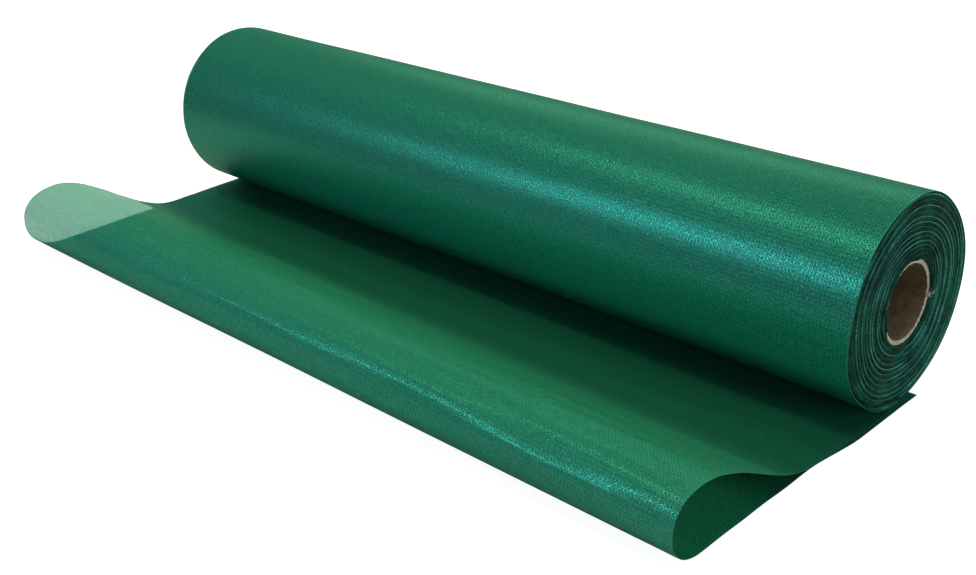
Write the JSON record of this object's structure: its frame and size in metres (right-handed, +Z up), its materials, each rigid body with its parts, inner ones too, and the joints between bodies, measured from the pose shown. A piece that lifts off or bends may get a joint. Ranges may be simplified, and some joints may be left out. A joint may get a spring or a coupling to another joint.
{
  "type": "roll of sheet material",
  "caption": "Wide roll of thin green embossed sheet wound on a paperboard core, resting on its leader, which humps up, folds at a round nose and runs back under the roll.",
  "frame": {"origin": "on the core's axis, halfway across the web's width", "axes": "+X along the roll's axis, the leader lies towards -Y, +Z up"},
  "size_m": [1.05, 0.47, 0.2176],
  "materials": {
    "sheet": "satin",
    "leader_sheet": "satin",
    "core_board": "matte",
    "core_liner": "matte",
    "tape": "satin"
  },
  "bodies": {
    "leader": {"leader_run": "leader_sheet", "leader_hump": "leader_sheet", "leader_nose": "leader_sheet", "return_flap": "leader_sheet"},
    "nip": {"nip_strip": "leader_sheet"},
    "roll": {"core_inner_liner": "core_liner", "core_body_ply_1": "core_board", "core_body_ply_2": "core_board", "core_body_ply_3": "core_board", "core_body_ply_4": "core_board", "core_outer_ply": "core_board", "start_tape": "tape", "wound_web": "sheet", "outer_lap": "sheet"}
  },
  "joints": [
    {"name": "roll_travel", "type": "slide", "parent": "leader", "child": "nip", "axis": [0, 1, 0], "range_m": [-0.1, 0.5]},
    {"name": "roll_spin", "type": "hinge", "parent": "nip", "child": "roll", "pos_m": [0, 0, 0], "axis": [1, 0, 0], "continuous": true}
  ],
  "couplings": [
    {"joint": "roll_spin", "follows": "roll_travel", "rad_per_m": -9.2593}
  ]
}
